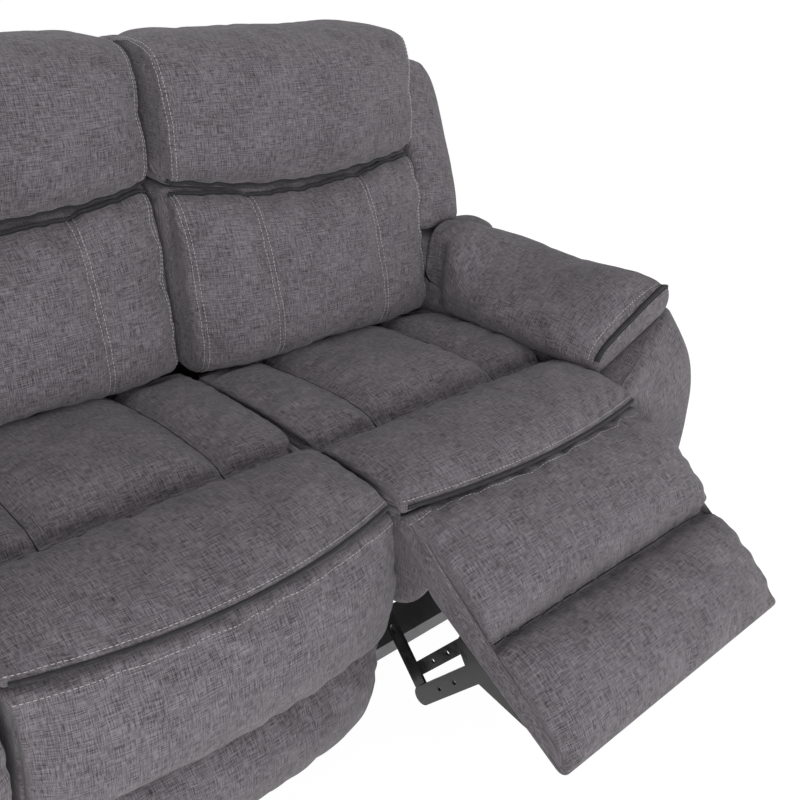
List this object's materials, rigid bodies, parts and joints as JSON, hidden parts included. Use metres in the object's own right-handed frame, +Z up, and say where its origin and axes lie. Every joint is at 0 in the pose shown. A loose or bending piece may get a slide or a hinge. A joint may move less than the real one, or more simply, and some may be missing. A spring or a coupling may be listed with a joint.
{
  "type": "reclining sofa",
  "caption": "Padded fabric sofa with end seats that recline, each with a folding padded footrest on a steel linkage",
  "frame": {"origin": "on the floor under the middle of the sofa's bounding box, as shown with one footrest part open", "axes": "+X along the sofa's length, +Y from front to back, +Z up"},
  "size_m": [2.1346, 1.1899, 0.9922],
  "materials": {
    "upholstery": "woven melange",
    "timber": "planed",
    "mechanism_steel": "gloss black",
    "elastic_webbing": "woven elastic",
    "black_plastic": "moulded"
  },
  "bodies": {
    "base": {"arm_frames": "timber", "cross_rails": "mechanism_steel", "feet": "black_plastic", "left_arm_cover": "upholstery", "left_arm_pad": "upholstery", "lever_bezels": "black_plastic", "middle_back_frame": "timber", "middle_back_panel": "upholstery", "middle_front_board": "timber", "middle_front_pad": "upholstery", "middle_head_cushion": "upholstery", "middle_lumbar_cushion": "upholstery", "middle_seat_cushion": "upholstery", "middle_seat_frame": "timber", "middle_seat_webbing": "elastic_webbing", "rear_rail": "timber", "rear_valance": "upholstery", "right_arm_cover": "upholstery", "right_arm_pad": "upholstery", "seat_partitions": "timber", "slide_tracks": "mechanism_steel"},
    "left_back": {"left_back_brackets": "mechanism_steel", "left_back_frame": "timber", "left_back_panel": "upholstery", "left_back_wing": "upholstery", "left_head_cushion": "upholstery", "left_lumbar_cushion": "upholstery"},
    "left_drive_linkage": {"left_drive_links": "mechanism_steel"},
    "left_footrest": {"left_footrest_board": "timber", "left_footrest_brackets": "mechanism_steel", "left_footrest_pad": "upholstery"},
    "left_lower_linkage": {"left_lower_channels": "mechanism_steel"},
    "left_lever": {"left_release_lever": "black_plastic"},
    "left_carriage": {"left_seat_cushion": "upholstery", "left_seat_frame": "timber", "left_seat_webbing": "elastic_webbing", "left_side_plates": "mechanism_steel"},
    "left_upper_linkage": {"left_upper_channels": "mechanism_steel"},
    "right_back": {"right_back_brackets": "mechanism_steel", "right_back_frame": "timber", "right_back_panel": "upholstery", "right_back_wing": "upholstery", "right_head_cushion": "upholstery", "right_lumbar_cushion": "upholstery"},
    "right_drive_linkage": {"right_drive_links": "mechanism_steel"},
    "right_footrest": {"right_footrest_board": "timber", "right_footrest_brackets": "mechanism_steel", "right_footrest_pad": "upholstery"},
    "right_lower_linkage": {"right_lower_channels": "mechanism_steel"},
    "right_lever": {"right_release_lever": "black_plastic"},
    "right_carriage": {"right_seat_cushion": "upholstery", "right_seat_frame": "timber", "right_seat_webbing": "elastic_webbing", "right_side_plates": "mechanism_steel"},
    "right_upper_linkage": {"right_upper_channels": "mechanism_steel"}
  },
  "joints": [
    {"name": "left_carriage_slide", "type": "slide", "parent": "base", "child": "left_carriage", "axis": [0, -1, 0], "range_m": [0, 0.048]},
    {"name": "left_footrest_hinge", "type": "hinge", "parent": "left_carriage", "child": "left_footrest", "pos_m": [-0.55, -0.25002, 0.43], "axis": [-1, 0, 0], "range_deg": [0, 85]},
    {"name": "left_drive_pivot", "type": "hinge", "parent": "left_carriage", "child": "left_drive_linkage", "pos_m": [-0.55, -0.15302, 0.275], "axis": [-1, 0, 0], "range_deg": [0, 95.22]},
    {"name": "left_lower_elbow", "type": "hinge", "parent": "left_drive_linkage", "child": "left_lower_linkage", "pos_m": [-0.55, -0.07526, 0.10691], "axis": [-1, 0, 0], "range_deg": [-104.4, 0]},
    {"name": "left_upper_elbow", "type": "hinge", "parent": "left_drive_linkage", "child": "left_upper_linkage", "pos_m": [-0.55, -0.09081, 0.14053], "axis": [-1, 0, 0], "range_deg": [-104.4, 0]},
    {"name": "left_back_recline", "type": "hinge", "parent": "left_carriage", "child": "left_back", "pos_m": [-0.55, 0.33498, 0.4], "axis": [-1, 0, 0], "range_deg": [0, 28]},
    {"name": "left_lever_pivot", "type": "hinge", "parent": "base", "child": "left_lever", "pos_m": [-1.058, -0.06502, 0.4], "axis": [-1, 0, 0], "range_deg": [0, 30], "stiffness_Nm_per_rad": 0.8, "springref_deg": -5.73},
    {"name": "right_carriage_slide", "type": "slide", "parent": "base", "child": "right_carriage", "axis": [0, -1, 0], "range_m": [-0.03487, 0.01323]},
    {"name": "right_footrest_hinge", "type": "hinge", "parent": "right_carriage", "child": "right_footrest", "pos_m": [0.55, -0.28479, 0.43], "axis": [-1, 0, 0], "range_deg": [-61.7, 23.3]},
    {"name": "right_drive_pivot", "type": "hinge", "parent": "right_carriage", "child": "right_drive_linkage", "pos_m": [0.55, -0.18779, 0.275], "axis": [-1, 0, 0], "range_deg": [-69.12, 26.12]},
    {"name": "right_lower_elbow", "type": "hinge", "parent": "right_drive_linkage", "child": "right_lower_linkage", "pos_m": [0.55, -0.31709, 0.1424], "axis": [-1, 0, 0], "range_deg": [-28.63, 75.79]},
    {"name": "right_upper_elbow", "type": "hinge", "parent": "right_drive_linkage", "child": "right_upper_linkage", "pos_m": [0.55, -0.29123, 0.16892], "axis": [-1, 0, 0], "range_deg": [-28.63, 75.79]},
    {"name": "right_back_recline", "type": "hinge", "parent": "right_carriage", "child": "right_back", "pos_m": [0.55, 0.30021, 0.4], "axis": [-1, 0, 0], "range_deg": [0, 28]},
    {"name": "right_lever_pivot", "type": "hinge", "parent": "base", "child": "right_lever", "pos_m": [1.058, -0.06502, 0.4], "axis": [-1, 0, 0], "range_deg": [0, 30], "stiffness_Nm_per_rad": 0.8, "springref_deg": -5.73}
  ],
  "couplings": [
    {"joint": "left_carriage_slide", "follows": "left_footrest_hinge", "m_per_rad": 0.032288},
    {"joint": "left_drive_pivot", "follows": "left_footrest_hinge", "ratio": 1.12},
    {"joint": "left_lower_elbow", "follows": "left_footrest_hinge", "ratio": -1.228},
    {"joint": "left_upper_elbow", "follows": "left_footrest_hinge", "ratio": -1.228},
    {"joint": "right_carriage_slide", "follows": "right_footrest_hinge", "m_per_rad": 0.032288},
    {"joint": "right_drive_pivot", "follows": "right_footrest_hinge", "ratio": 1.12},
    {"joint": "right_lower_elbow", "follows": "right_footrest_hinge", "ratio": -1.228},
    {"joint": "right_upper_elbow", "follows": "right_footrest_hinge", "ratio": -1.228}
  ]
}
